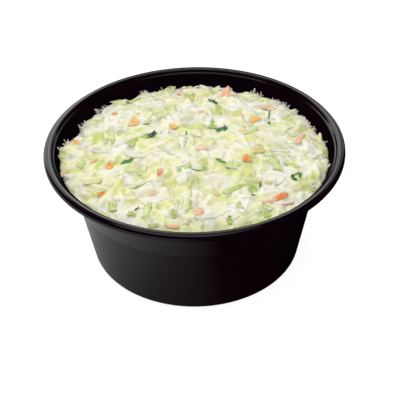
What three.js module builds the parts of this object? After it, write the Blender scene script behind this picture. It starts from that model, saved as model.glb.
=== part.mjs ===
// Coleslaw in its cup: a shallow, round, tapered cup of thin black plastic, filled with finely
// chopped salad that is heaped a little towards its middle.
// Millimetres, +Z up, the origin at the centre of the cup's underside.
import * as THREE from 'three';
import { ImprovedNoise } from 'three/addons/math/ImprovedNoise.js';

// ---- driving dimensions ----

const facetsRound = 64; // facets round the cup and its contents
const facetsInBend = 3; // facets in each bend of the cup's wall

const cup = {
  height: 49.2, // underside to the top of the rim
  wall: 0.8, // thickness of the plastic, the same all over
  rimRadius: 58.5, // outside of the rim's skirt
  skirt: 2.3, // how far the skirt hangs below the top of the rim
  rimWidth: 3.2, // top of the rim, from the skirt in
  rimDrop: 1.6, // from the top of the rim down to the ledge inside it
  collarTop: 2.35, // from the top of the rim down to where the collar begins
  collarTopRadius: 54.3, // outside of the collar there
  collarDrop: 17.3, // from the top of the rim down to the collar's lower edge
  collarRadius: 48.9, // outside of the collar at its lower edge
  stepHeight: 0.6, // height of the small step under the collar
  bodyRadius: 47.5, // outside of the body under that step
  baseRadius: 42.1, // outside of the body at the underside
};

// The radii of the bends on the cup's outer skin. On the food side a bend is wider or narrower by the
// thickness of the wall.
const bend = {
  base: 2.0, // round the underside
  step: 0.6, // both bends of the step under the collar
  ledge: 0.2, // both bends of the ledge inside the rim
  rimInside: 0.1, // from the ledge onto the rim's top
  rimOutside: 1.2, // from the rim's top into its skirt
  least: 0.2, // the narrowest bend on the food side
};

const heap = {
  gap: 0.35, // clearance between the salad and the cup
  fill: 6.8, // from the top of the rim down to the salad's edge at the wall
  crown: 4.6, // rise of the middle above that edge
  fullness: 2.6, // how far out the crown stays high: 2 is a round dome, more is flatter
  rings: 18, // rings of facets from the wall to the middle
};

// The uneven top: wide mounds with smaller lumps on them, each as spacing and height.
const mounds = [
  { spacing: 17, height: 1.7, seed: 3.4 },
  { spacing: 7.5, height: 1.0, seed: 8.6 },
];

// ---- the bent sheet that makes the cup ----

const corner = (radius, height, round) => ({ at: new THREE.Vector2(radius, height), round });

// The corners of the cup's outer skin, from the middle of the underside, up the wall, over the
// rim and down inside its skirt.
function outerSkin() {
  const top = cup.height - cup.wall;
  const bodyTop = cup.height - cup.collarDrop - cup.stepHeight;
  return [
    corner(0, 0),
    corner(cup.baseRadius, 0, bend.base),
    corner(cup.bodyRadius, bodyTop, bend.step),
    corner(cup.collarRadius, bodyTop + cup.stepHeight, bend.step),
    corner(cup.collarTopRadius, cup.height - cup.collarTop, bend.ledge),
    corner(cup.rimRadius - cup.rimWidth, cup.height - cup.rimDrop - cup.wall / 2, bend.ledge),
    corner(cup.rimRadius - cup.rimWidth + cup.wall / 2, top, bend.rimInside),
    corner(cup.rimRadius - cup.wall, top, bend.rimOutside),
    corner(cup.rimRadius - cup.wall, cup.height - cup.skirt),
  ];
}

// The unit normal on the food side of the stretch from one corner to the next.
function foodSide(from, to) {
  const along = to.clone().sub(from).normalize();
  return new THREE.Vector2(-along.y, along.x);
}

// The skin that lies an even distance inside the given corners, on the food side.
function offsetSkin(corners, distance) {
  return corners.map(({ at, round }, i) => {
    const before = i > 0 ? foodSide(corners[i - 1].at, at) : null;
    const after = i < corners.length - 1 ? foodSide(at, corners[i + 1].at) : null;
    const first = before ?? after;
    const second = after ?? before;
    const mitre = first.clone().add(second).divideScalar(1 + first.dot(second));
    const wider = first.cross(second) < 0 ? distance : -distance;
    return {
      at: at.clone().addScaledVector(mitre, distance),
      round: round && Math.max(round + wider, bend.least),
    };
  });
}

// The points of a skin, with each of its corners bent to its own radius.
function bentPoints(corners) {
  return corners.flatMap(({ at, round }, i) => {
    if (!round) {
      return [at];
    }
    const back = corners[i - 1].at.clone().sub(at).normalize();
    const ahead = corners[i + 1].at.clone().sub(at).normalize();
    const turn = Math.PI - Math.acos(back.dot(ahead));
    const reach = round * Math.tan(turn / 2);
    const start = at.clone().addScaledVector(back, reach);
    const end = at.clone().addScaledVector(ahead, reach);
    return new THREE.QuadraticBezierCurve(start, at, end).getPoints(facetsInBend);
  });
}

// A closed outline in radius and height, turned about Z.
function turned(outline) {
  const geometry = new THREE.LatheGeometry(outline, facetsRound);
  geometry.rotateX(Math.PI / 2);
  return geometry;
}

// ---- the cup ----

function makeCup() {
  const outside = outerSkin();
  const inside = offsetSkin(outside, cup.wall);
  const outline = [...bentPoints(outside), ...bentPoints(inside).reverse()];
  const material = new THREE.MeshStandardMaterial({
    color: 0x17151a,
    roughness: 0.35,
    metalness: 0,
  });
  const mesh = new THREE.Mesh(turned(outline), material);
  mesh.name = 'cup';
  return mesh;
}

// ---- the salad ----

const noise = new ImprovedNoise();

// How far the mounds raise or lower the top at a point.
function unevenness(x, y) {
  let height = 0;
  for (const mound of mounds) {
    height += mound.height * noise.noise(x / mound.spacing, y / mound.spacing, mound.seed);
  }
  return height;
}

// The radius of a skin at a height, between the two of its points that enclose it.
function radiusAt(points, height) {
  const above = points.findIndex((point) => point.y > height);
  const low = points[above - 1];
  const high = points[above];
  const share = (height - low.y) / (high.y - low.y);
  return THREE.MathUtils.lerp(low.x, high.x, share);
}

function makeColeslaw() {
  const skin = bentPoints(offsetSkin(outerSkin(), cup.wall + heap.gap));
  const edgeHeight = cup.height - heap.fill;
  const edgeRadius = radiusAt(skin, edgeHeight);
  const inCollar = skin.filter((point) => point.y < edgeHeight - 2 * mounds[0].height);
  const outline = [...inCollar];
  for (let ring = 0; ring <= heap.rings; ring++) {
    outline.push(new THREE.Vector2(edgeRadius * (1 - ring / heap.rings), edgeHeight));
  }

  const geometry = turned(outline);
  const place = geometry.getAttribute('position');
  for (let i = 0; i < place.count; i++) {
    const x = place.getX(i);
    const y = place.getY(i);
    const out = Math.hypot(x, y) / edgeRadius;
    const onTop = i % outline.length >= inCollar.length;
    if (onTop) {
      const height = edgeHeight + heap.crown * (1 - out ** heap.fullness) + unevenness(x, y);
      const onWall = i % outline.length === inCollar.length;
      const widen = onWall ? radiusAt(skin, height) / edgeRadius : 1;
      place.setXYZ(i, x * widen, y * widen, height);
    }
  }
  geometry.computeVertexNormals();

  const material = new THREE.MeshStandardMaterial({
    color: 0xe4e8cf,
    roughness: 0.55,
    metalness: 0,
  });
  const mesh = new THREE.Mesh(geometry, material);
  mesh.name = 'coleslaw';
  return mesh;
}

const part = new THREE.Group();
part.add(makeCup(), makeColeslaw());

export default part;
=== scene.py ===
import math

import bmesh
import bpy
import numpy as np
from mathutils import Matrix, Vector, noise
from mathutils.bvhtree import BVHTree


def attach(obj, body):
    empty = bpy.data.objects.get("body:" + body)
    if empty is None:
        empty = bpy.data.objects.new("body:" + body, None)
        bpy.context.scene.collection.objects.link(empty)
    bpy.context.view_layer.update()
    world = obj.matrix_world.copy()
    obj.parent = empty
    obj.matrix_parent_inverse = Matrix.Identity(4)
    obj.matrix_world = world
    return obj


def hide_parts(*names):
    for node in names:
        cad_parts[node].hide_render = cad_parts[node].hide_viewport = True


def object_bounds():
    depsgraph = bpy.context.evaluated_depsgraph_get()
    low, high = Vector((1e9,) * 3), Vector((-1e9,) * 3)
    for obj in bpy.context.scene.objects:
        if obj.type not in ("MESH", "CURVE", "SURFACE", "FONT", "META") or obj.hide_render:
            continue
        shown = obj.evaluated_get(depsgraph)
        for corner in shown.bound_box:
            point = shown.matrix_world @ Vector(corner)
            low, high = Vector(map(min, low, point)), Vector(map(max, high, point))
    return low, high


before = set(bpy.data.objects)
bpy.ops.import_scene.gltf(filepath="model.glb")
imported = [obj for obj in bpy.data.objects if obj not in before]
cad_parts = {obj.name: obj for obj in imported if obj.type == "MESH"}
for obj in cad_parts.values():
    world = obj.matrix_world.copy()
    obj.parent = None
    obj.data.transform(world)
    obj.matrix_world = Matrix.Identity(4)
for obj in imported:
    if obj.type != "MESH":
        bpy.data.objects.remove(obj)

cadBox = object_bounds()
mm = 0.001  # the frame is in metres, the sizes below are in millimetres
noise.seed_set(4)  # the noise vectors follow this seed, so each run cuts the same bits


def linear(code):
    # an sRGB hex colour as the linear one that shaders take
    parts = [int(code[i:i + 2], 16) / 255 for i in (1, 3, 5)]
    return [p / 12.92 if p < 0.04045 else ((p + 0.055) / 1.055) ** 2.4 for p in parts] + [1.0]


def fillRamp(ramp, stops):
    while len(ramp) < len(stops):
        ramp.new(0.5)
    for stop, (place, colour) in zip(ramp, stops):
        stop.position = place
        stop.color = linear(colour)


def addNode(tree, kind, settings):
    # the node's own settings come first, then its sockets: an output is linked, or the first one of a node,
    # and any other value is set
    added = tree.nodes.new("ShaderNode" + kind)
    own = [name for name in settings if isinstance(name, str) and name not in added.inputs]
    for name in own:
        if name == "stops":
            fillRamp(added.color_ramp.elements, settings[name])
        else:
            setattr(added, name, settings[name])
    for name, value in settings.items():
        if name in own:
            continue
        if isinstance(value, bpy.types.Node):
            value = value.outputs[0]
        if isinstance(value, bpy.types.NodeSocket):
            tree.links.new(value, added.inputs[name])
        else:
            added.inputs[name].default_value = value
    return added


def newMaterial(name):
    material = bpy.data.materials.new(name)
    material.use_nodes = True
    material.node_tree.nodes.clear()
    return material


def addPiece(name, mesh, material):
    piece = bpy.data.objects.new(name, mesh)
    bpy.context.scene.collection.objects.link(piece)
    mesh.materials.append(material)
    return piece


def bmeshPiece(name, bm, material):
    for face in bm.faces:
        face.smooth = True
    mesh = bpy.data.meshes.new(name)
    bm.to_mesh(mesh)
    bm.free()
    return addPiece(name, mesh, material)


# The camera looks down into the cup. Sizes in mm, angles in degrees.
view = {
    "down": 37.5,
    "roll": -1.09,
    "distance": 388.8,
    "right": 2.23,
    "up": -22.86,
    "lens": 90,
    "sensor": 36,
    "pixels": 400,
}
rimCentre = Vector((0, 0, cadBox[1][2]))


def addCamera():
    data = bpy.data.cameras.new("camera")
    data.lens = view["lens"]
    data.sensor_width = view["sensor"]
    camera = bpy.data.objects.new("camera", data)
    bpy.context.scene.collection.objects.link(camera)
    down = Matrix.Rotation(math.radians(90 - view["down"]), 4, "X")
    roll = Matrix.Rotation(math.radians(view["roll"]), 4, "Z")
    away = Vector((view["right"], view["up"], view["distance"])) * mm
    camera.matrix_world = Matrix.Translation(rimCentre) @ down @ roll @ Matrix.Translation(away)
    bpy.context.scene.camera = camera
    return camera


camera = addCamera()

# Soft panels round the cup, each aimed at it: places and sizes in metres. The panels are only mirrored, and
# the fill only lights what is matt, as a lamp behind a very large diffuser has no clear mirror image.
lamps = {
    "backLeftPanel": {"at": (-0.67, 1.11, 0.58), "size": (0.96, 1.16), "watts": 5.2, "glossy": True},
    "backMiddlePanel": {"at": (0.0, 1.1, 0.91), "size": (0.62, 0.5), "watts": 1.6, "glossy": True},
    "backRightPanel": {"at": (0.61, 1.14, 0.58), "size": (0.8, 1.16), "watts": 1.7, "glossy": True},
    "topStrip": {"at": (-0.1, -0.15, 1.3), "size": (1.2, 0.9), "watts": 3.4, "glossy": True},
    "wideFill": {"at": (-0.6, 0.1, 1.2), "size": (2.4, 2.4), "watts": 12.8, "glossy": False},
}
studio = {"dim": 0.008, "soft": 1.08}  # how bright the room is in a mirror, and how bright it lights


def addLamps():
    for name, lamp in lamps.items():
        data = bpy.data.lights.new(name, "AREA")
        data.shape = "RECTANGLE"
        data.size, data.size_y = lamp["size"]
        data.energy = lamp["watts"]
        panel = bpy.data.objects.new(name, data)
        panel.location = lamp["at"]
        panel.rotation_euler = (rimCentre - Vector(lamp["at"])).to_track_quat("-Z", "Y").to_euler()
        panel.visible_glossy = lamp["glossy"]
        panel.visible_diffuse = not lamp["glossy"]
        bpy.context.scene.collection.objects.link(panel)


def addStudio():
    # the room is dim where the plastic mirrors it, bright where it lights the salad, and white behind the cup
    world = bpy.data.worlds.new("studio")
    bpy.context.scene.world = world
    world.use_nodes = True
    tree = world.node_tree
    tree.nodes.clear()
    rays = addNode(tree, "LightPath", {})
    dim = addNode(tree, "Background", {"Strength": studio["dim"]})
    soft = addNode(tree, "Background", {"Strength": studio["soft"]})
    white = addNode(tree, "Background", {"Color": linear("#ffffff")})
    lit = addNode(tree, "MixShader", {0: rays.outputs["Is Diffuse Ray"], 1: dim, 2: soft})
    both = addNode(tree, "MixShader", {0: rays.outputs["Is Camera Ray"], 1: lit, 2: white})
    addNode(tree, "OutputWorld", {"Surface": both})


board = {"halfWide": 4, "squares": 8, "colour": "#8c8c8c", "glow": 0.87}  # half its width in metres
# The board as the plastic mirrors it, a painted reflection: bright to the left, with painted shade close to
# the cup and to its right, in mm from the cup's axis.
mirrored = {"bright": 0.56, "darkAt": 12, "brightAt": 58, "rightEnd": 15, "leftEnd": -80}


def addFloor():
    material = newMaterial("white matt lacquered board with painted reflection")
    tree = material.node_tree
    shader = addNode(tree, "BsdfPrincipled", {"Base Color": linear(board["colour"]), "Roughness": 0.9,
                                              "Specular IOR Level": 0.1, "Emission Color": linear("#ffffff"),
                                              "Emission Strength": board["glow"]})
    # painted reflection: glossy rays see the board glow, fading near the cup and to the right as a painted
    # shadow of the cup, while other rays see the evenly bright board
    place = addNode(tree, "TexCoord", {}).outputs["Object"]
    reach = addNode(tree, "VectorMath", {"operation": "LENGTH", 0: place})
    near = addNode(tree, "MapRange", {"Value": reach.outputs["Value"], "From Min": mirrored["darkAt"] * mm,
                                      "From Max": mirrored["brightAt"] * mm, "To Max": mirrored["bright"]})
    axes = addNode(tree, "SeparateXYZ", {"Vector": place})
    left = addNode(tree, "MapRange", {"Value": axes.outputs["X"], "From Min": mirrored["rightEnd"] * mm,
                                      "From Max": mirrored["leftEnd"] * mm})
    glow = addNode(tree, "Math", {"operation": "MULTIPLY", 0: near, 1: left})
    seen = addNode(tree, "Emission", {"Strength": glow})
    rays = addNode(tree, "LightPath", {})
    both = addNode(tree, "MixShader", {0: rays.outputs["Is Glossy Ray"], 1: shader, 2: seen})
    addNode(tree, "OutputMaterial", {"Surface": both})
    bm = bmesh.new()
    squares = board["squares"]
    bmesh.ops.create_grid(bm, x_segments=squares, y_segments=squares, size=board["halfWide"])
    floor = bmeshPiece("floor", bm, material)


addLamps()
addStudio()
addFloor()
bpy.context.scene.view_settings.view_transform = "Standard"
bpy.context.scene.cycles.diffuse_bounces = 12  # white salad is bright even in its crevices
print("camera, lights and floor are set")

# The cup: one thin sheet bent into base, wall, step, collar, ledge, rim and skirt, in mm. Drops are measured
# down from the top of the rim, radii are on the outside, and a bend is how far it reaches from a corner.
cup = {
    "height": 49.2,
    "wall": 0.8,
    "rimRadius": 58.5,
    "rimBend": 0.9,
    "skirt": 2.3,
    "rimInsideRadius": 56.0,
    "rimInsideBend": 0.1,
    "neckRadius": 55.33,  # where the slope inside the rim meets the ledge
    "neckDrop": 1.93,
    "collarTop": 2.03,
    "collarTopRadius": 54.95,
    "collarDrop": 17.3,
    "collarRadius": 48.9,
    "stepHeight": 0.6,
    "stepBend": 0.5,
    "bodyRadius": 47.5,
    "baseRadius": 42.1,
    "baseBend": 1.8,
    "lip": 0.2,  # rounding of the skirt's lower edge
    "sharp": 35,  # degrees, past which an edge of the finished wall is rounded too
    "steps": 192,  # faces round the cup
    "bendSteps": 6,
    "lipSteps": 3,
}


def cupCorners():
    # the outer skin's corners as radius, height and bend, from the base's middle outwards
    c = cup
    top = c["height"] - c["wall"]
    stepBottom = c["height"] - c["collarDrop"] - c["stepHeight"]
    return [
        (0.0, 0.0, 0.0),
        (c["baseRadius"], 0.0, c["baseBend"]),
        (c["bodyRadius"], stepBottom, c["stepBend"]),
        (c["collarRadius"], stepBottom + c["stepHeight"], c["stepBend"]),
        (c["collarTopRadius"], c["height"] - c["collarTop"], 0.0),
        (c["neckRadius"], c["height"] - c["neckDrop"], 0.0),
        (c["rimInsideRadius"], top, c["rimInsideBend"]),
        (c["rimRadius"] - c["wall"], top, c["rimBend"]),
        (c["rimRadius"] - c["wall"], c["height"] - c["skirt"], 0.0),
    ]


def ringEdges(bm, radius, height):
    # the edges round the cup at a corner of its skin
    near = 0.02  # mm

    def onRing(vert):
        return abs(math.hypot(vert.co.x, vert.co.y) - radius) < near and abs(vert.co.z - height) < near

    return [edge for edge in bm.edges if all(onRing(vert) for vert in edge.verts)]


def bendEdges(bm, edges, reach, segments):
    bmesh.ops.bevel(bm, geom=edges, offset=reach, offset_type="OFFSET", affect="EDGES", segments=segments,
                    profile=0.5, material=-1, clamp_overlap=True)


def makeCup(material):
    # the skin is spun and bent as an open sheet in mm, then gets its wall on the food side
    nearly = 0.01  # mm, by which the ends of a level edge may differ in height
    bm = bmesh.new()
    corners = cupCorners()
    line = [bm.verts.new((radius, 0, height)) for radius, height, reach in corners]
    for a, b in zip(line, line[1:]):
        bm.edges.new((a, b))
    bmesh.ops.spin(bm, geom=bm.verts[:] + bm.edges[:], cent=(0, 0, 0), axis=(0, 0, 1), angle=math.tau,
                   steps=cup["steps"], use_merge=True)
    bmesh.ops.remove_doubles(bm, verts=bm.verts[:], dist=0.001)
    bmesh.ops.recalc_face_normals(bm, faces=bm.faces[:])
    for radius, height, reach in corners:
        if reach:
            bendEdges(bm, ringEdges(bm, radius, height), reach, cup["bendSteps"])
    lowest = min(bm.faces, key=lambda face: face.calc_center_median().z)
    if lowest.normal.z > 0:
        bmesh.ops.reverse_faces(bm, faces=bm.faces[:])
    bmesh.ops.solidify(bm, geom=bm.faces[:], thickness=cup["wall"])
    inner = [e for e in bm.edges if len(e.link_faces) == 2]
    level = [e for e in inner if abs(e.verts[0].co.z - e.verts[1].co.z) < nearly]
    sharp = [e for e in level if e.calc_face_angle() > math.radians(cup["sharp"])]
    bendEdges(bm, sharp, cup["lip"], cup["lipSteps"])
    bmesh.ops.scale(bm, vec=(mm, mm, mm), verts=bm.verts[:])
    return bmeshPiece("cupShell", bm, material)


# Sizes in mm: the orange peel's bumps and their height, and the clouds in which colour and polish vary. Real
# orange peel is mostly finer, and this is as fine as the view can show.
plastic = {
    "peel": 0.9,
    "peelHeight": 0.05,
    "peelStrength": 0.12,
    "clouds": 14,
    "tints": [(0.3, "#090106"), (0.7, "#0e020a")],
    "roughness": (0.1, 0.16),
    "ior": 1.49,
}


def blackPolypropylene():
    # Polypropylene with black pigment, pressed into a polished mould: a dark satin face with a faint wine-red
    # cast that turns grey where it meets the light, and a very fine orange peel that softens reflections.
    material = newMaterial("black moulded polypropylene")
    tree = material.node_tree
    place = addNode(tree, "TexCoord", {}).outputs["Object"]
    peel = addNode(tree, "TexNoise", {"Vector": place, "Scale": 1 / (plastic["peel"] * mm), "Detail": 2.0,
                                      "Roughness": 0.5})
    cloud = addNode(tree, "TexNoise", {"Vector": place, "Scale": 1 / (plastic["clouds"] * mm), "Detail": 3.0})
    tint = addNode(tree, "ValToRGB", {"Fac": cloud, "stops": plastic["tints"]})
    polish = addNode(tree, "MapRange", {"Value": cloud, "To Min": plastic["roughness"][0],
                                        "To Max": plastic["roughness"][1]})
    bump = addNode(tree, "Bump", {"Height": peel, "Strength": plastic["peelStrength"],
                                  "Distance": plastic["peelHeight"] * mm})
    shader = addNode(tree, "BsdfPrincipled", {"Base Color": tint, "Roughness": polish,
                                              "IOR": plastic["ior"], "Normal": bump})
    addNode(tree, "OutputMaterial", {"Surface": shader})
    return material


cupShell = makeCup(blackPolypropylene())
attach(cupShell, "root")
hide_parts("cup")
print("cup:", len(cupShell.data.polygons), "faces")

# The heap's outline is the CAD solid, which the cut vegetables fill.
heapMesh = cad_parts["coleslaw"].data
heapTree = BVHTree.FromPolygons([v.co for v in heapMesh.vertices], [p.vertices for p in heapMesh.polygons])

# Sizes in mm: where the top of the salad meets the wall, its mean height there, the clumps on it, and how
# bits lie in it, in bundles that point one way and in patches of one tone.
heap = {
    "radius": 52.0,
    "edge": 42.6,
    "clumps": 8.5,
    "clumpHeight": 2.1,
    "bundles": 14,
    "stray": 0.6,  # how far a bit turns away from its bundle, in radians
    "tipped": 0.7,  # below 1, more bits are tipped far than little
    "shake": 0.8,  # how far a bit lies off its place in the spiral, as a share of their spacing
    "tonePatches": 7,
    "toneContrast": 1.1,
    "ownTone": 0.4,  # the share of a bit's tone that is its own and not its patch's
}
# Where the heap is banked up against the wall, or sinks, in mm.
banks = [
    {"at": (-52, -4), "reach": 12, "rise": 3.2},
    {"at": (52, -4), "reach": 12, "rise": 2.6},
    {"at": (-42, 29), "reach": 8, "rise": 1.6},
    {"at": (-33, 38), "reach": 6, "rise": 1.0},
    {"at": (0, 50), "reach": 17, "rise": -0.9},
]

above = 0.1  # metres, higher than anything in the cup


def rayDown(solid, x, y):
    # what is met first on the way down over a place
    return solid.ray_cast(Vector((x, y, above)), Vector((0, 0, -1)))


def clumpAt(place):
    # how far the salad stands above or below the smooth heap, in metres
    rise = heap["clumpHeight"] * noise.noise(Vector((place.x, place.y, 0)) / (heap["clumps"] * mm))
    for bank in banks:
        out = math.hypot(place.x / mm - bank["at"][0], place.y / mm - bank["at"][1]) / bank["reach"]
        rise += bank["rise"] * math.exp(-out * out)
    return rise * mm


def onHeap(x, y):
    # the point of the heap's top over a place, and the way it faces, found a little further in at its edge
    for share in (1, 0.99, 0.98, 0.97):
        place, normal, face, distance = rayDown(heapTree, x * share, y * share)
        if place is not None:
            break
    place.z += clumpAt(place)
    return place, normal if normal.z > 0 else -normal


focalPixels = view["pixels"] * view["lens"] / view["sensor"]


def pixelRay(pixel):
    # the way from the camera through a pixel, which is counted from the view's upper left corner
    middle = view["pixels"] / 2
    ray = camera.matrix_world.to_3x3() @ Vector((pixel[0] - middle, middle - pixel[1], -focalPixels))
    return ray.normalized()


def spanPixels(start, end, wide, lean):
    # where a bit lies that is seen from one pixel to another, its length's direction and size, its facing
    # between the heap's slope and the camera, and its width
    eye = camera.matrix_world.translation
    look = pixelRay(((start[0] + end[0]) / 2, (start[1] + end[1]) / 2))
    slope = heapTree.ray_cast(eye, look)[1] or Vector((0, 0, 1))
    place = coreTree.ray_cast(eye, look)[0]
    if place is None:  # beside the heap, so it leans on the wall
        place = eye + look * ((heap["edge"] * mm - eye.z) / look.z)
    if slope.z < 0:
        slope = -slope
    facing = slope.lerp(-look, lean).normalized()
    ends = []
    for pixel in (start, end):
        ray = pixelRay(pixel)
        ends.append(eye + ray * ((place - eye).dot(facing) / ray.dot(facing)))
    along = ends[1] - ends[0]
    across = facing.cross(along).normalized()
    seen = (across - look * across.dot(look)).length
    width = wide * (place - eye).length / focalPixels / seen
    return place, along, facing, width


# The room inside the cup, in mm: its radius at some heights, what stays free along the wall, and how high the
# salad may be piled.
room = {
    "heights": [0.8, 31.3, 31.9, 47.9, 48.0, 49.2],
    "radii": [41.4, 46.7, 48.1, 54.4, 54.9, 55.8],
    "gap": 0.15,
    "top": 50.5,
}


def keepInCup(points):
    # points past the wall are pushed back against it, and none stands higher than the pile may
    points[:, 2] = np.minimum(points[:, 2], room["top"] * mm)
    out = np.hypot(points[:, 0], points[:, 1])
    free = (np.interp(points[:, 2] / mm, room["heights"], room["radii"]) - room["gap"]) * mm
    share = np.minimum(1, free / np.maximum(out, 1e-9))
    points[:, 0] *= share
    points[:, 1] *= share
    return points


# How fast the outline of a cut bit wavers along and across it, and how thick its edge is as a share of it.
outline = {"along": 2.2, "across": 1.5, "thinEdge": 0.2}


def cutSlab(rng, spec, length, width, taper):
    # one cut bit, lying along X: a slab with a rounded, uneven outline and thin edges, bowed and twisted
    length, width, thick = length / 2, width / 2, rng.uniform(*spec["thick"])
    bow, curl = rng.uniform(*spec["bow"]), rng.uniform(*spec["bow"])
    twist = rng.uniform(-1, 1) * spec["twist"]
    seed = rng.uniform(0, 100)
    bm = bmesh.new()
    bmesh.ops.create_grid(bm, x_segments=spec["grid"][0], y_segments=spec["grid"][1], size=1)
    bmesh.ops.solidify(bm, geom=bm.faces[:], thickness=1)
    edge, grain = [], []
    for v in bm.verts:
        x, y, z = v.co.x, v.co.y, v.co.z + 0.5
        onEdge = max(abs(x), abs(y)) > 0.99
        edge.append(1.0 if onEdge else 0.0)
        x, y = x * math.sqrt(1 - spec["round"] * y * y), y * math.sqrt(1 - spec["round"] * x * x)
        wave = Vector((x * outline["along"] + seed, y * outline["across"], seed))
        shift = noise.noise_vector(wave) * spec["ragged"]
        x, y = x + shift.x, (y + shift.y) * (1 - taper * x)
        rise = bow * length * x * x + curl * width * y * y + shift.z * width
        z = z * thick * (outline["thinEdge"] if onEdge else 1)
        grain.append((x * length + seed, y * width, seed))
        v.co = Matrix.Rotation(twist * x, 3, "X") @ Vector((x * length, y * width, z + rise))
    points = np.array([v.co[:] for v in bm.verts])
    points -= points.mean(0)
    quads = np.array([[v.index for v in f.verts] for f in bm.faces])
    bm.free()
    return points, quads, np.array(edge), np.array(grain)


def cutVariants(rng, spec):
    cuts = []
    for i in range(spec["variants"]):
        length, width = rng.uniform(*spec["long"]), rng.uniform(*spec["wide"])
        cuts.append(cutSlab(rng, spec, length, width, rng.uniform(-1, 1) * spec["taper"]))
    return cuts


def heapPlaces(rng, count, ground):
    # an even spiral over the heap, shaken so that no pattern shows
    places = []
    widest, shake = heap["radius"], heap["shake"]
    spacing = widest * math.sqrt(math.pi / count)
    goldenAngle = math.pi * (3 - math.sqrt(5))
    for i in range(count):
        radius = widest * math.sqrt((i + 0.5) / count)
        angle = i * goldenAngle
        x = radius * math.cos(angle) + rng.uniform(-shake, shake) * spacing
        y = radius * math.sin(angle) + rng.uniform(-shake, shake) * spacing
        out = math.hypot(x, y)
        if out > widest:
            x, y = x * widest / out, y * widest / out
        place, slope = onHeap(x * mm, y * mm)
        if ground:
            place = rayDown(ground, x * mm, y * mm)[0]
        if place is not None:
            places.append((place, slope))
    return places


def standing(rng, place, normal, tilt):
    # the turn that lays a bit on a slope, tipped by up to tilt degrees, more or less along its neighbours
    tip = math.radians(tilt) * rng.uniform(0, 1) ** heap["tipped"]
    bundle = math.tau * noise.noise(place / (heap["bundles"] * mm))
    spin = Matrix.Rotation(bundle + rng.normal(0, heap["stray"]), 3, "Z")
    side = rng.uniform(0, math.tau)
    lean = Matrix.Rotation(tip, 3, Vector((math.cos(side), math.sin(side), 0)))
    slope = Vector((0, 0, 1)).rotation_difference(normal).to_matrix()
    return np.array(slope @ lean @ spin)


def tuftPlaces(rng):
    # slivers that stand in fans, each rising outwards from the salad's edge
    places = []
    eye = camera.matrix_world.translation
    middle = view["pixels"] / 2
    step = 0.02  # of the way to the middle of the view
    for x, y in tufts["pixels"]:
        root = None
        while root is None:  # from the pixel towards the middle, until the core is met
            root = coreTree.ray_cast(eye, pixelRay((x, y)))[0]
            x, y = x + step * (middle - x), y + step * (middle - y)
        outwards = math.atan2(root.y, root.x)
        for i in range(tufts["each"]):
            tilt = math.radians(rng.uniform(*tufts["tilt"]))
            turn = outwards + rng.normal(0, tufts["fan"])
            rise = Matrix.Rotation(turn, 3, "Z") @ Matrix.Rotation(-tilt, 3, "Y")
            shift = Vector(rng.normal(0, tufts["spread"], 3) * mm)
            places.append((np.array(rise), root + shift))
    return places


def toneAt(rng, place):
    # bits of one cabbage leaf lie together, so a bit is partly like its neighbours
    own = heap["ownTone"]
    patch = 0.5 + heap["toneContrast"] * noise.noise(place / (heap["tonePatches"] * mm))
    return float(np.clip(own * rng.uniform(0, 1) + (1 - own) * patch, 0, 1))


def scatter(rng, spec, count, height, ground):
    # copies: which cut, turn, place in metres and tone
    copies = []
    for place, normal in heapPlaces(rng, count, ground):
        lift = rng.uniform(*height) * mm
        turn = standing(rng, place, normal, spec["tilt"])
        copies.append((rng.integers(spec["variants"]), turn, place + normal * lift, toneAt(rng, place)))
    return copies


def draped(shape, turn, place, ground, limp, rise):
    # a wet bit sags to its rise above what lies under it, the more the limper it is
    points = shape * mm @ turn.T + np.array(place)
    for point, (x, y, z) in zip(points, shape * mm):
        under = rayDown(ground, point[0], point[1])[0]
        if under is not None:
            point[2] += limp * (under.z + rise + z - point[2])
    return points


def hides(points, spots):
    # whether a bit stands in the line of sight of one that is to be seen
    eye = camera.matrix_world.translation
    for spot, reach in spots:
        look = (spot - eye).normalized()
        off = points - np.array(spot)
        if (np.linalg.norm(np.cross(off, np.array(look)), axis=1) < reach).any():
            return True
    return False


def joined(cuts, copies, ground, limp, rise=0.0, spots=()):
    # all copies that hide no spot, as points, faces, tones, how near a cut edge and where in the grain
    points, quads, tones, edges, grains, total = [], [], [], [], [], 0
    for cut, turn, place, tone in copies:
        shape, faces, edge, grain = cuts[cut]
        laid = draped(shape, turn, place, ground, limp, rise * mm)
        if hides(laid, spots):
            continue
        points.append(laid)
        quads.append(faces + total)
        tones.append(np.full(len(shape), tone))
        edges.append(edge)
        grains.append(grain)
        total += len(shape)
    laid = keepInCup(np.concatenate(points))
    return laid, np.concatenate(quads), np.concatenate(tones), np.concatenate(edges), np.concatenate(grains)


saladInPlastic = False  # whether the plastic mirrors the salad, which would show only faintly


def joinedPiece(name, cuts, copies, limp, rise, spots, material):
    # all copies of a kind become one mesh
    points, quads, tones, edges, grains = joined(cuts, copies, coreTree, limp, rise, spots)
    mesh = bpy.data.meshes.new(name)
    mesh.vertices.add(len(points))
    mesh.vertices.foreach_set("co", points.astype(np.float32).ravel())
    mesh.loops.add(quads.size)
    mesh.loops.foreach_set("vertex_index", quads.astype(np.int32).ravel())
    mesh.polygons.add(len(quads))
    mesh.polygons.foreach_set("loop_start", np.arange(0, quads.size, 4, dtype=np.int32))
    mesh.polygons.foreach_set("use_smooth", np.ones(len(quads), bool))
    mesh.update(calc_edges=True)
    for attribute, values in (("tone", tones), ("edge", edges)):
        layer = mesh.attributes.new(attribute, "FLOAT", "POINT")
        layer.data.foreach_set("value", values.astype(np.float32))
    layer = mesh.attributes.new("grain", "FLOAT_VECTOR", "POINT")
    layer.data.foreach_set("vector", grains.astype(np.float32).ravel())
    piece = addPiece(name, mesh, material)
    piece.visible_glossy = saladInPlastic
    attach(piece, "root")
    print(name + ":", 2 * len(quads), "triangles")
    return piece


patchSize = 8  # mm across the patches of one colour, in which bits of one leaf lie together


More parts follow.
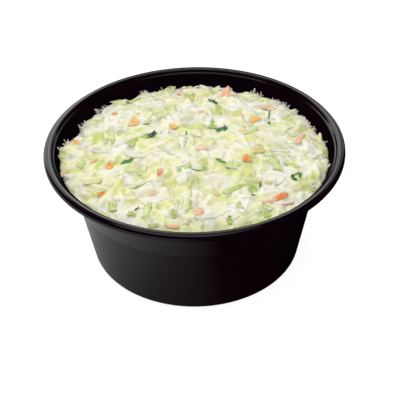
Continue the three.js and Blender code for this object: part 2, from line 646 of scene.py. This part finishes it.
def patches(tree, place, strength):
    # how much a patch shifts the tone of all that lies in it
    spots = addNode(tree, "TexNoise", {"Vector": place, "Scale": 1 / (patchSize * mm), "Detail": 2.0,
                                       "Roughness": 0.6})
    return addNode(tree, "MapRange", {"Value": spots, "From Min": 0.3, "From Max": 0.7, "To Min": -strength,
                                      "To Max": strength})


# The flesh of every cut bit and the dressing smeared on it, sizes in mm.
vegetable = {
    "fibres": (0.25, 2.2, 1.0),  # how many to the mm along, across and through a bit
    "relief": 0.25,
    "reliefStrength": 0.18,
    "smears": 3.0,
    "smearColour": "#e9e8da",
    "lightDepth": 1.0,
    "ior": 1.38,
}


def choppedVegetable(title, spec):
    # Raw vegetable cut by machine and tossed in dressing: wet, slightly translucent flesh with fine fibres
    # along it, paler at the cut edges, with a thin white smear of dressing in places. Each bit has its own
    # tone.
    material = newMaterial(title)
    tree = material.node_tree
    place = addNode(tree, "TexCoord", {}).outputs["Object"]
    tone = addNode(tree, "Attribute", {"attribute_name": "tone"})
    edge = addNode(tree, "Attribute", {"attribute_name": "edge"})
    grain = addNode(tree, "Attribute", {"attribute_name": "grain"})
    stretched = addNode(tree, "Mapping", {"Vector": grain.outputs["Vector"], "Scale": vegetable["fibres"]})
    fibres = addNode(tree, "TexNoise", {"Vector": stretched, "Scale": 1.0, "Detail": 3.0, "Roughness": 0.55})
    shifted = addNode(tree, "MapRange", {"Value": fibres, "From Min": 0.25, "From Max": 0.75,
                                         "To Min": -spec["fibrous"], "To Max": spec["fibrous"]})
    own = addNode(tree, "Math", {"operation": "ADD", 0: tone.outputs["Fac"], 1: shifted})
    mixed = addNode(tree, "Math", {"operation": "ADD", 0: own,
                                   1: patches(tree, place, spec.get("patchy", 0))})
    flesh = addNode(tree, "ValToRGB", {"Fac": mixed, "stops": spec["flesh"]})
    smear = addNode(tree, "TexNoise", {"Vector": place, "Scale": 1 / (vegetable["smears"] * mm),
                                       "Detail": 2.0, "Distortion": 0.8})
    coated = addNode(tree, "MapRange", {"Value": smear, "From Min": 0.42, "From Max": 0.64,
                                        "To Max": spec["dressed"]})
    rim = addNode(tree, "MapRange", {"Value": edge.outputs["Fac"], "From Min": 0.1, "From Max": 0.9,
                                     "To Max": spec["paleEdge"]})
    white = addNode(tree, "Math", {"operation": "MAXIMUM", 0: coated, 1: rim})
    colour = addNode(tree, "Mix", {"data_type": "RGBA", 0: white, 6: flesh,
                                   7: linear(vegetable["smearColour"])})
    bump = addNode(tree, "Bump", {"Height": fibres, "Strength": vegetable["reliefStrength"],
                                  "Distance": vegetable["relief"] * mm})
    shader = addNode(tree, "BsdfPrincipled", {"Base Color": colour.outputs[2], "Roughness": spec["roughness"],
                                              "IOR": vegetable["ior"], "Subsurface Weight": spec["glow"],
                                              "Subsurface Radius": (1.0, 1.0, 0.85),
                                              "Subsurface Scale": vegetable["lightDepth"] * mm,
                                              "Normal": bump})
    addNode(tree, "OutputMaterial", {"Surface": shader})
    return material


# The bits that can be told apart, in mm. Each span is one bit: the pixels of the 400 x 400 view where it
# starts and ends, its width in those pixels, how much it narrows towards its end, if it does, and its tone.
spotted = {
    "carrotBits": {
        "title": "carrot chopped in bits",
        "thick": (0.7, 1.1), "bow": (-0.1, 0.15), "twist": 0.3, "round": 0.15, "ragged": 0.5,
        "grid": (6, 5), "lean": 0.35, "limp": 0.4, "lift": 0.3, "open": 0.3, "seed": 31,
        "dressed": 0.35, "paleEdge": 0.6, "roughness": 0.36, "glow": 0.6, "fibrous": 0.25,
        "flesh": [(0.0, "#ee8230"), (0.4, "#f49c42"), (1.0, "#f8c258")],
        "spans": [
            {"from": (134.2, 126.5), "to": (133.8, 115.5), "wide": 7.5, "narrows": 0.6, "tone": 0.75},
            {"from": (109.5, 161), "to": (109.5, 172.5), "wide": 8, "narrows": 0.6, "tone": 0.6},
            {"from": (70.8, 143), "to": (79.3, 142.3), "wide": 4.2, "narrows": 0.1, "tone": 0.8},
            {"from": (159.6, 167.5), "to": (160.6, 176.5), "wide": 7, "narrows": -0.2, "tone": 0.1},
            {"from": (97.5, 194.3), "to": (105.3, 194.3), "wide": 5, "tone": 0.3},
            {"from": (246.8, 161.5), "to": (245.5, 153.5), "wide": 8, "narrows": 0.5, "tone": 0.3},
            {"from": (249.5, 120.5), "to": (260, 117), "wide": 6, "narrows": 0.1, "tone": 0.7},
            {"from": (273.5, 199.8), "to": (287.3, 193.6), "wide": 7, "narrows": -0.15, "tone": 0.1},
            {"from": (169, 125.5), "to": (177, 128), "wide": 5, "tone": 0.8},
            {"from": (91.3, 164.2), "to": (97.6, 158.6), "wide": 1.8, "tone": 0.35},
            {"from": (112, 113.5), "to": (117, 114.3), "wide": 3.5, "tone": 0.6},
        ],
    },
    "dressedCarrotBits": {
        "title": "carrot bits under dressing",
        "thick": (0.6, 1.0), "bow": (-0.1, 0.2), "twist": 0.3, "round": 0.2, "ragged": 0.4, "grid": (6, 4),
        "lean": 0.35, "limp": 0.5, "lift": 0.25, "open": 0.3, "seed": 32,
        "dressed": 0.4, "paleEdge": 0.6, "roughness": 0.38, "glow": 0.5, "fibrous": 0.25,
        "flesh": [(0.0, "#ec9a68"), (0.5, "#efbf96"), (1.0, "#e2a79a")],
        "spans": [
            {"from": (177.5, 94.5), "to": (185, 87.5), "wide": 6, "tone": 0.15},
            {"from": (226, 99), "to": (227, 85.5), "wide": 11.5, "narrows": 0.65, "tone": 0.1},
            {"from": (296, 143), "to": (303, 133.5), "wide": 6.5, "narrows": 0.1, "tone": 0.1},
            {"from": (259, 104.5), "to": (277, 110.5), "wide": 5, "narrows": 0.3, "tone": 0.6},
            {"from": (198.3, 206.5), "to": (198.3, 217.5), "wide": 10, "narrows": 0.1, "tone": 0.35},
            {"from": (166, 226.8), "to": (179.5, 227.5), "wide": 5, "tone": 0.5},
            {"from": (58.5, 177), "to": (66, 171.8), "wide": 5, "tone": 0.45},
            {"from": (149.3, 195.6), "to": (156, 193), "wide": 3.2, "tone": 0.4},
            {"from": (262.8, 203.2), "to": (273, 201), "wide": 3.8, "narrows": 0.2, "tone": 1},
            {"from": (278.5, 207), "to": (294, 202.8), "wide": 2.2, "tone": 0.95},
            {"from": (198, 111.6), "to": (203.5, 112.4), "wide": 3.5, "tone": 0.95},
            {"from": (196, 148.5), "to": (207, 147.5), "wide": 6, "tone": 0.6},
        ],
    },
    "goldenLeafBits": {
        "title": "yellow heart of cabbage in bits",
        "thick": (0.4, 0.7), "bow": (-0.1, 0.3), "twist": 0.4, "round": 0.15, "ragged": 0.4, "grid": (6, 4),
        "lean": 0.15, "limp": 0.6, "lift": 0.2, "open": 0.3, "seed": 33,
        "dressed": 0.4, "paleEdge": 0.4, "roughness": 0.38, "glow": 0.5, "fibrous": 0.25,
        "flesh": [(0.0, "#c2b83a"), (0.5, "#dcc46e"), (1.0, "#e2dc96")],
        "spans": [
            {"from": (187.5, 88), "to": (190.5, 103), "wide": 9, "narrows": 0.5, "tone": 0},
            {"from": (251.5, 151), "to": (264, 148.3), "wide": 7, "narrows": 0.1, "tone": 0.6},
            {"from": (265, 182), "to": (272.5, 182.8), "wide": 3.5, "tone": 0.5},
            {"from": (240.5, 127), "to": (247.5, 135), "wide": 6.5, "narrows": 0.2, "tone": 0.8},
            {"from": (211.5, 191.5), "to": (220, 196), "wide": 4, "tone": 0.5},
            {"from": (237, 112.5), "to": (242, 117.5), "wide": 6, "tone": 0.6},
            {"from": (65.5, 172.5), "to": (69.8, 170.8), "wide": 3.5, "tone": 0.4},
            {"from": (83.7, 183.7), "to": (102, 178.7), "wide": 5, "narrows": 0.2, "tone": 1},
        ],
    },
    "limeLeafBits": {
        "title": "green cabbage leaf in bits",
        "thick": (0.35, 0.6), "bow": (-0.15, 0.3), "twist": 0.4, "round": 0.1, "ragged": 0.5,
        "grid": (8, 5), "lean": 0.1, "limp": 0.8, "lift": 0.2, "open": 0.3, "seed": 34,
        "dressed": 0.35, "paleEdge": 0.65, "roughness": 0.36, "glow": 0.5, "fibrous": 0.35,
        "flesh": [(0.0, "#9fbf36"), (0.35, "#b9cf5c"), (0.65, "#cfdc86"), (1.0, "#e2e6bb")],
        "spans": [
            {"from": (127.6, 145), "to": (147.5, 134.5), "wide": 9, "narrows": 0.15, "tone": 0.1},
            {"from": (176.6, 171), "to": (191.3, 163.4), "wide": 6.5, "narrows": -0.1, "tone": 0.15},
            {"from": (204, 158.5), "to": (204, 171), "wide": 6.5, "tone": 0.35},
            {"from": (212, 129.5), "to": (212.6, 119), "wide": 6.5, "narrows": 0.8, "tone": 0},
            {"from": (217.5, 107), "to": (217.5, 116.5), "wide": 7, "tone": 0.3},
            {"from": (253, 185.5), "to": (253, 196), "wide": 7.5, "narrows": -0.1, "tone": 0.05},
            {"from": (265.5, 210.5), "to": (267.5, 219.5), "wide": 8, "tone": 0.15},
            {"from": (271, 158.5), "to": (280.5, 171), "wide": 10, "tone": 0.45},
            {"from": (284.5, 160.5), "to": (299, 169), "wide": 4, "narrows": 0.1, "tone": 0.4},
            {"from": (223.8, 191.5), "to": (245.5, 184.4), "wide": 5.5, "tone": 0.5},
            {"from": (191.3, 178.5), "to": (189.3, 188.5), "wide": 3.5, "narrows": 0.2, "tone": 0.4},
            {"from": (191.9, 204.2), "to": (185.5, 212.5), "wide": 4.5, "tone": 0.55},
            {"from": (173.7, 208), "to": (173.7, 215), "wide": 6, "tone": 0.4},
            {"from": (148.7, 200), "to": (144.9, 222.3), "wide": 7, "narrows": -0.1, "tone": 0.5},
            {"from": (112.4, 202), "to": (112.4, 212), "wide": 8, "tone": 0.6},
            {"from": (127, 213), "to": (135, 214.8), "wide": 5, "tone": 0.3},
            {"from": (238.4, 200.5), "to": (238.4, 208), "wide": 5.5, "tone": 0.55},
            {"from": (148.3, 225), "to": (158.5, 225.6), "wide": 4, "tone": 0.6},
            {"from": (162.5, 107.5), "to": (162.5, 118.5), "wide": 10.5, "tone": 0.7},
            {"from": (107.5, 128.5), "to": (110.5, 141.5), "wide": 11, "narrows": 0.1, "tone": 0.7},
            {"from": (119.5, 131), "to": (119.5, 135.5), "wide": 4.5, "tone": 0.5},
            {"from": (110.5, 142.8), "to": (115.5, 141.8), "wide": 3.5, "tone": 0.2},
            {"from": (144.5, 125.5), "to": (154, 113.5), "wide": 6, "narrows": 0.2, "tone": 0.75},
            {"from": (77, 164.8), "to": (84, 165.2), "wide": 5.5, "tone": 0.55},
            {"from": (122, 189.5), "to": (148.7, 184), "wide": 5, "narrows": 0.1, "tone": 0.8},
            {"from": (224, 165), "to": (239, 164.5), "wide": 8, "tone": 0.55},
            {"from": (229.3, 217), "to": (229.8, 223.5), "wide": 4.5, "tone": 0},
            {"from": (281.4, 119.2), "to": (292.3, 119), "wide": 5, "tone": 0.6},
            {"from": (111.6, 105.1), "to": (140.7, 97.7), "wide": 6, "narrows": 0.1, "tone": 0.4},
            {"from": (166.5, 89.5), "to": (175.5, 88.5), "wide": 8, "tone": 0.6},
            {"from": (204, 91), "to": (220, 89.5), "wide": 9, "narrows": 0.1, "tone": 1},
        ],
    },
    "longShreds": {
        "title": "long shreds of pale cabbage",
        "thick": (0.12, 0.25), "bow": (-0.05, 0.05), "twist": 0.3, "round": 0.1, "ragged": 0.22,
        "grid": (12, 3), "lean": 0.1, "limp": 0.96, "lift": 0.06, "open": 0.1, "seed": 36,
        "dressed": 0.3, "paleEdge": 0.45, "roughness": 0.4, "glow": 0.2, "fibrous": 0.3,
        "flesh": [(0.0, "#c3d06e"), (0.35, "#d6dc92"), (0.65, "#e8e7bd"), (1.0, "#eae8da")],
        "spans": [
            {"from": (190, 178), "to": (190.5, 196), "wide": 3.4, "narrows": 0.2, "tone": 0.25},
            {"from": (194, 178), "to": (199.5, 191), "wide": 3.6, "narrows": 0.3, "tone": 0.25},
            {"from": (183, 195), "to": (179.5, 213), "wide": 2.6, "narrows": 0.2, "tone": 0.75},
            {"from": (189.5, 198), "to": (186.5, 214), "wide": 3.6, "narrows": 0.2, "tone": 0.25},
            {"from": (171, 190), "to": (173, 205), "wide": 3.4, "narrows": 0.3, "tone": 0.55},
            {"from": (198, 192), "to": (195, 206), "wide": 2.4, "narrows": 0.3, "tone": 0.6},
            {"from": (263, 141), "to": (302, 147.5), "wide": 2.8, "narrows": 0.4, "tone": 0.9},
            {"from": (266, 143), "to": (293, 147.5), "wide": 3.2, "narrows": 0.3, "tone": 0.4},
            {"from": (264, 150.5), "to": (304, 151), "wide": 2.8, "narrows": 0.3, "tone": 0.9},
            {"from": (262, 153.5), "to": (290, 157), "wide": 4.5, "narrows": 0.3, "tone": 0.35},
            {"from": (283, 152.5), "to": (305, 157), "wide": 3.2, "narrows": 0.3, "tone": 0.95},
            {"from": (158, 147), "to": (176, 157), "wide": 3, "narrows": 0.3, "tone": 0.4},
            {"from": (124, 153), "to": (160, 158.5), "wide": 4, "narrows": 0.4, "tone": 0.95},
            {"from": (240, 101), "to": (262, 97.5), "wide": 3.4, "narrows": 0.3, "tone": 0.55},
            {"from": (272, 131), "to": (297, 136.5), "wide": 3.4, "narrows": 0.3, "tone": 0.65},
            {"from": (227, 221), "to": (262, 211.5), "wide": 5.5, "narrows": 0.2, "tone": 0.6},
            {"from": (86, 152), "to": (118, 149), "wide": 3.2, "narrows": 0.3, "tone": 0.9},
            {"from": (196, 221), "to": (224, 213), "wide": 3.4, "narrows": 0.3, "tone": 0.9},
        ],
    },
    "darkLeafBits": {
        "title": "dark green leaf in bits",
        "thick": (0.35, 0.5), "bow": (0.1, 0.5), "twist": 0.7, "round": 0.3, "ragged": 0.45, "grid": (7, 4),
        "lean": 0.3, "limp": 0.8, "lift": 0.3, "open": 0.35, "seed": 35,
        "dressed": 0.1, "paleEdge": 0.05, "roughness": 0.35, "glow": 0.3, "fibrous": 0.2,
        "flesh": [(0.0, "#1f5a30"), (0.4, "#3f7f42"), (1.0, "#7fae5c")],
        "spans": [
            {"from": (149, 141), "to": (154, 130), "wide": 8.5, "narrows": 0.2, "tone": 0.15},
            {"from": (208.5, 100.3), "to": (217.4, 104.6), "wide": 4.8, "narrows": 0.1, "tone": 0.2},
            {"from": (216.3, 130.4), "to": (227.5, 127.8), "wide": 3, "narrows": -0.3, "tone": 0.45},
            {"from": (225, 127.5), "to": (226, 132.5), "wide": 3.4, "tone": 0.2},
            {"from": (122, 164.8), "to": (133.8, 158.4), "wide": 3.6, "tone": 0.4},
            {"from": (290.3, 180.3), "to": (302.3, 173.4), "wide": 6.8, "narrows": 0.3, "tone": 0.3},
            {"from": (216, 159), "to": (224.7, 162.5), "wide": 2.6, "tone": 0.7},
            {"from": (134.5, 209.7), "to": (139.2, 207.8), "wide": 1.6, "tone": 0},
            {"from": (260.6, 188.5), "to": (260.2, 182.5), "wide": 2, "narrows": 0.3, "tone": 0.15},
            {"from": (190.5, 170.6), "to": (202, 170), "wide": 1.4, "tone": 0.4},
            {"from": (250.7, 195.4), "to": (255.8, 194.6), "wide": 1.3, "tone": 0.1},
            {"from": (269.2, 121.5), "to": (269.2, 125.5), "wide": 2.6, "tone": 0.3},
            {"from": (269.2, 111), "to": (269.2, 119), "wide": 1.8, "tone": 0.8},
            {"from": (186.3, 131.5), "to": (186, 136.5), "wide": 1.2, "tone": 0.3},
            {"from": (196, 89.2), "to": (199.8, 86.8), "wide": 1.6, "tone": 0.6},
            {"from": (242, 208), "to": (243.4, 208.6), "wide": 1.2, "tone": 0.1},
            {"from": (229, 216.5), "to": (231, 217.2), "wide": 1.5, "tone": 0.1},
        ],
    },
}

# What is scattered over the whole heap, in mm and degrees. Buried bits are pressed into the core, with their
# middles at sink from the heap's outline, and whiteness is their range of tones. Loose ones lie at lift from
# the core.
scattered = {
    "whiteCabbageFlakes": {
        "title": "white cabbage chopped in flakes",
        "buried": 520, "loose": 24, "variants": 20, "seed": 11,
        "long": (5.0, 13.0), "wide": (2.8, 6.5), "thick": (0.3, 0.6), "bow": (-0.2, 0.06), "twist": 0.3,
        "taper": 0.45, "round": 0.15, "ragged": 0.42, "grid": (7, 4), "sink": (-1.8, -0.2),
        "lift": (-0.25, 0.05), "limp": 0.93, "tilt": 14, "whiteness": (0.5, 1.0),
        "dressed": 0.5, "paleEdge": 0.5, "roughness": 0.45, "glow": 0.1, "fibrous": 0.2, "patchy": 0.4,
        "flesh": [(0.0, "#dfe2a6"), (0.5, "#e8e7c8"), (1.0, "#e9e8da")],
    },
    "whiteCabbageShreds": {
        "title": "white cabbage cut in shreds",
        "buried": 520, "loose": 56, "variants": 20, "seed": 12,
        "long": (7.0, 17.0), "wide": (1.2, 2.8), "thick": (0.25, 0.45), "bow": (-0.12, 0.05), "twist": 0.4,
        "taper": 0.5, "round": 0.1, "ragged": 0.34, "grid": (9, 3), "sink": (-1.6, -0.1),
        "lift": (-0.25, 0.05), "limp": 0.95, "tilt": 10, "whiteness": (0.45, 1.0),
        "dressed": 0.5, "paleEdge": 0.5, "roughness": 0.45, "glow": 0.1, "fibrous": 0.2, "patchy": 0.4,
        "flesh": [(0.0, "#dfe2a6"), (0.5, "#e8e7c8"), (1.0, "#e9e8da")],
    },
    "paleCabbageFlakes": {
        "title": "pale green cabbage chopped in flakes",
        "buried": 210, "loose": 24, "variants": 14, "seed": 13,
        "long": (5.0, 11.0), "wide": (2.2, 5.0), "thick": (0.3, 0.5), "bow": (-0.2, 0.06), "twist": 0.3,
        "taper": 0.45, "round": 0.15, "ragged": 0.42, "grid": (7, 4), "sink": (-1.6, -0.2),
        "lift": (-0.25, 0.0), "limp": 0.93, "tilt": 14, "whiteness": (0.0, 0.5),
        "dressed": 0.35, "paleEdge": 0.35, "roughness": 0.42, "glow": 0.1, "fibrous": 0.2, "patchy": 0.4,
        "flesh": [(0.0, "#c8d27a"), (0.5, "#d9de9a"), (1.0, "#e6e6b8")],
    },
    "cabbageSlivers": {
        "title": "fine cabbage slivers",
        "buried": 0, "loose": 300, "variants": 14, "seed": 14,
        "long": (2.5, 8.0), "wide": (0.35, 0.9), "thick": (0.15, 0.3), "bow": (-0.2, 0.2), "twist": 0.5,
        "taper": 0.9, "round": 0.2, "ragged": 0.3, "grid": (6, 1), "lift": (-0.1, 0.25), "limp": 0.8,
        "tilt": 20,
        "dressed": 0.5, "paleEdge": 0.4, "roughness": 0.42, "glow": 0.1, "fibrous": 0.2, "patchy": 0.4,
        "flesh": [(0.0, "#dfe1a8"), (0.5, "#e9e8ca"), (1.0, "#eeecdd")],
    },
}

# Fine slivers that stand up at the salad's edge in tufts, in mm and degrees: the pixels where the tufts are,
# how far their slivers are spread, and how they fan out, in radians.
tufts = {
    "long": (1.6, 3.8), "wide": (0.2, 0.45), "each": 8, "spread": 0.65, "tilt": (5, 42), "fan": 0.7,
    "tone": 0.9, "seed": 21,
    "pixels": [
        (60, 158), (62, 151), (66, 142), (73, 140), (79, 127), (85, 125), (97, 112), (104, 110), (120, 104),
        (145, 94), (153, 97), (164, 91), (176, 89), (228, 88), (252, 94), (262, 95), (275, 100), (286, 107),
        (295, 114), (301, 120), (311, 125), (318, 128), (324, 144), (328, 158), (328, 166),
    ],
}

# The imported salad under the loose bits, in mm.
core = {
    "cells": 300,  # squares across its top
    "radius": 53.0,
    "depth": 1.7,  # how far under the heap's outline it lies where no bit is pressed in
    "pool": 0.4,  # how far under the bits around it the dressing stands in a crevice
    "poolWidth": 5,  # squares over which it levels out
    "melt": 5,  # passes that round the relief off
    "toneMelt": 6,  # passes that soften the tones of the bits
    "bareTone": 0.8,
    "paintedCreviceShade": (0.5, 0.2),  # painted shade: a crevice keeps the first share of its tone, and the second is added, so it comes out darker and greener
    "sides": [(48.3, 31.9), (47.0, 31.3), (41.6, 1.2)],  # radius and height down its side
}


def blur(grid, passes):
    # each square takes half of its value from the four beside it, once a pass
    for i in range(passes):
        padded = np.pad(grid, 1, mode="edge")
        grid = (padded[:-2, 1:-1] + padded[2:, 1:-1] + padded[1:-1, :-2] + padded[1:-1, 2:] + 4 * grid) / 8
    return grid


def makeCore(material, points, quads, tones):
    # the imported salad: a round body whose top takes the shape of the bits that are pressed into it, with
    # dressing standing in the crevices between them, and painted shade in its tone there
    bits = BVHTree.FromPolygons(points.tolist(), quads.tolist())
    bitTones = tones[quads[:, 0]]
    n = core["cells"]
    bm = bmesh.new()
    bmesh.ops.create_grid(bm, x_segments=n, y_segments=n, size=1)
    bm.verts.ensure_lookup_table()
    height = np.zeros(len(bm.verts))
    tone = np.zeros(len(bm.verts))
    for i, v in enumerate(bm.verts):
        # the square grid is drawn in to a disc
        x, y = v.co.x * math.sqrt(1 - v.co.y ** 2 / 2), v.co.y * math.sqrt(1 - v.co.x ** 2 / 2)
        v.co = (x * core["radius"] * mm, y * core["radius"] * mm, 0)
        inside = min(1, heap["radius"] / core["radius"] / max(math.hypot(x, y), 1e-6))
        place, normal = onHeap(v.co.x * inside, v.co.y * inside)
        height[i] = place.z - core["depth"] * mm
        tone[i] = core["bareTone"]
        hit, normal, face, distance = rayDown(bits, v.co.x, v.co.y)
        if hit is not None and hit.z > height[i]:
            height[i] = hit.z
            tone[i] = bitTones[face]
    height, tone = height.reshape(n + 1, n + 1), tone.reshape(n + 1, n + 1)
    pool = blur(height, core["poolWidth"] ** 2) - core["pool"] * mm
    # painted shade: where the dressing stands above the bits, the tone drops towards the darker, greener end
    # of the ramp
    shadeKept, added = core["paintedCreviceShade"]
    tone = np.where(pool > height, shadeKept * tone + added, tone)
    height = blur(np.maximum(height, pool), core["melt"]).ravel()
    tone = blur(tone, core["toneMelt"]).ravel()
    layer = bm.verts.layers.float.new("tone")
    for i, v in enumerate(bm.verts):
        v.co.z = height[i]
        v[layer] = tone[i]
    for radius, level in core["sides"]:
        edges = [e for e in bm.edges if e.is_boundary]
        skirt = bmesh.ops.extrude_edge_only(bm, edges=edges)["geom"]
        for v in (g for g in skirt if isinstance(g, bmesh.types.BMVert)):
            out = math.hypot(v.co.x, v.co.y)
            v.co = (v.co.x * radius * mm / out, v.co.y * radius * mm / out, level * mm)
    bmesh.ops.contextual_create(bm, geom=[e for e in bm.edges if e.is_boundary])
    bmesh.ops.recalc_face_normals(bm, faces=bm.faces[:])
    places = np.array([v.co[:] for v in bm.verts])
    for v, place in zip(bm.verts, keepInCup(places)):
        v.co = place
    ground = BVHTree.FromBMesh(bm)
    return bmeshPiece("dressedCore", bm, material), ground


# The mince and its dressing, sizes in mm.
dressing = {
    "mince": 0.9,
    "stretch": 0.3,  # below 1, the mince is longer along X
    "uneven": 0.22,
    "patchy": 0.42,
    "relief": 0.4,
    "reliefStrength": 0.3,
    "tones": [(0.0, "#c9d27e"), (0.35, "#dde09e"), (0.6, "#e6e4bc"), (0.9, "#e9e8d9")],
    "roughness": 0.4,
    "ior": 1.45,
    "glow": 0.75,
    "lightDepth": 1.3,
}


def dressedCabbage():
    # Minced white cabbage soaked in thin mayonnaise dressing: an off-white glossy emulsion that lets light in
    # and stands between the bits, which show through it in pale greens. Its tone also carries painted shade,
    # darker and greener in the crevices.
    material = newMaterial("minced cabbage in cream dressing")
    tree = material.node_tree
    place = addNode(tree, "TexCoord", {}).outputs["Object"]
    tone = addNode(tree, "Attribute", {"attribute_name": "tone"})
    stretched = addNode(tree, "Mapping", {"Vector": place, "Scale": (dressing["stretch"], 1.0, 1.0)})
    mince = addNode(tree, "TexNoise", {"Vector": stretched, "Scale": 1 / (dressing["mince"] * mm),
                                       "Detail": 3.0, "Roughness": 0.6, "Distortion": 0.8})
    shifted = addNode(tree, "MapRange", {"Value": mince, "From Min": 0.3, "From Max": 0.7,
                                         "To Min": -dressing["uneven"], "To Max": dressing["uneven"]})
    own = addNode(tree, "Math", {"operation": "ADD", 0: tone.outputs["Fac"], 1: shifted})
    mixed = addNode(tree, "Math", {"operation": "ADD", 0: own, 1: patches(tree, place, dressing["patchy"])})
    colour = addNode(tree, "ValToRGB", {"Fac": mixed, "stops": dressing["tones"]})
    bump = addNode(tree, "Bump", {"Height": mince, "Strength": dressing["reliefStrength"],
                                  "Distance": dressing["relief"] * mm})
    shader = addNode(tree, "BsdfPrincipled", {"Base Color": colour, "Roughness": dressing["roughness"],
                                              "IOR": dressing["ior"], "Subsurface Weight": dressing["glow"],
                                              "Subsurface Radius": (1.0, 0.95, 0.75),
                                              "Subsurface Scale": dressing["lightDepth"] * mm,
                                              "Normal": bump})
    addNode(tree, "OutputMaterial", {"Surface": shader})
    return material


pressed = []
for spec in scattered.values():
    if spec["buried"]:
        rng = np.random.default_rng(spec["seed"] + 100)
        cuts = cutVariants(rng, spec)
        copies = scatter(rng, spec, spec["buried"], spec["sink"], None)
        low, high = spec["whiteness"]
        copies = [(cut, turn, place, low + (high - low) * tone) for cut, turn, place, tone in copies]
        pressed.append(joined(cuts, copies, heapTree, 0)[:3])
starts = np.cumsum([0] + [len(points) for points, quads, tones in pressed])
coreCover, coreTree = makeCore(
    dressedCabbage(),
    np.concatenate([points for points, quads, tones in pressed]),
    np.concatenate([quads + start for (points, quads, tones), start in zip(pressed, starts)]),
    np.concatenate([tones for points, quads, tones in pressed]))
coreCover.visible_glossy = saladInPlastic
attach(coreCover, "root")
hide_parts("coleslaw")
print("core:", len(coreCover.data.polygons), "faces")

inView = []  # points on the spotted bits that no other bit may hide, each with the reach round it
for name, spec in spotted.items():
    rng = np.random.default_rng(spec["seed"])
    cuts, copies = [], []
    for span in spec["spans"]:
        place, along, facing, width = spanPixels(span["from"], span["to"], span["wide"], spec["lean"])
        across = facing.cross(along).normalized()
        turn = Matrix((along.normalized(), across, facing)).transposed()
        cuts.append(cutSlab(rng, spec, along.length / mm, width / mm, span.get("narrows", 0)))
        copies.append((len(copies), np.array(turn), place + facing * spec["lift"] * mm, span["tone"]))
        inView += [(place + along * share, spec["open"] * width) for share in (-0.3, 0, 0.3)]
    joinedPiece(name, cuts, copies, spec["limp"], spec["lift"], (), choppedVegetable(spec["title"], spec))

for name, spec in scattered.items():
    rng = np.random.default_rng(spec["seed"])
    cuts = cutVariants(rng, spec)
    copies = scatter(rng, spec, spec["loose"], spec["lift"], coreTree)
    joinedPiece(name, cuts, copies, spec["limp"], 0.0, inView, choppedVegetable(spec["title"], spec))

rng = np.random.default_rng(tufts["seed"])
spec = {**scattered["cabbageSlivers"], "long": tufts["long"], "wide": tufts["wide"]}
cuts = cutVariants(rng, spec)
copies = [(rng.integers(spec["variants"]), turn, place, tufts["tone"]) for turn, place in tuftPlaces(rng)]
edgeCabbage = choppedVegetable("fine cabbage slivers at the edge", spec)
joinedPiece("edgeSlivers", cuts, copies, 0.0, 0.0, inView, edgeCabbage)
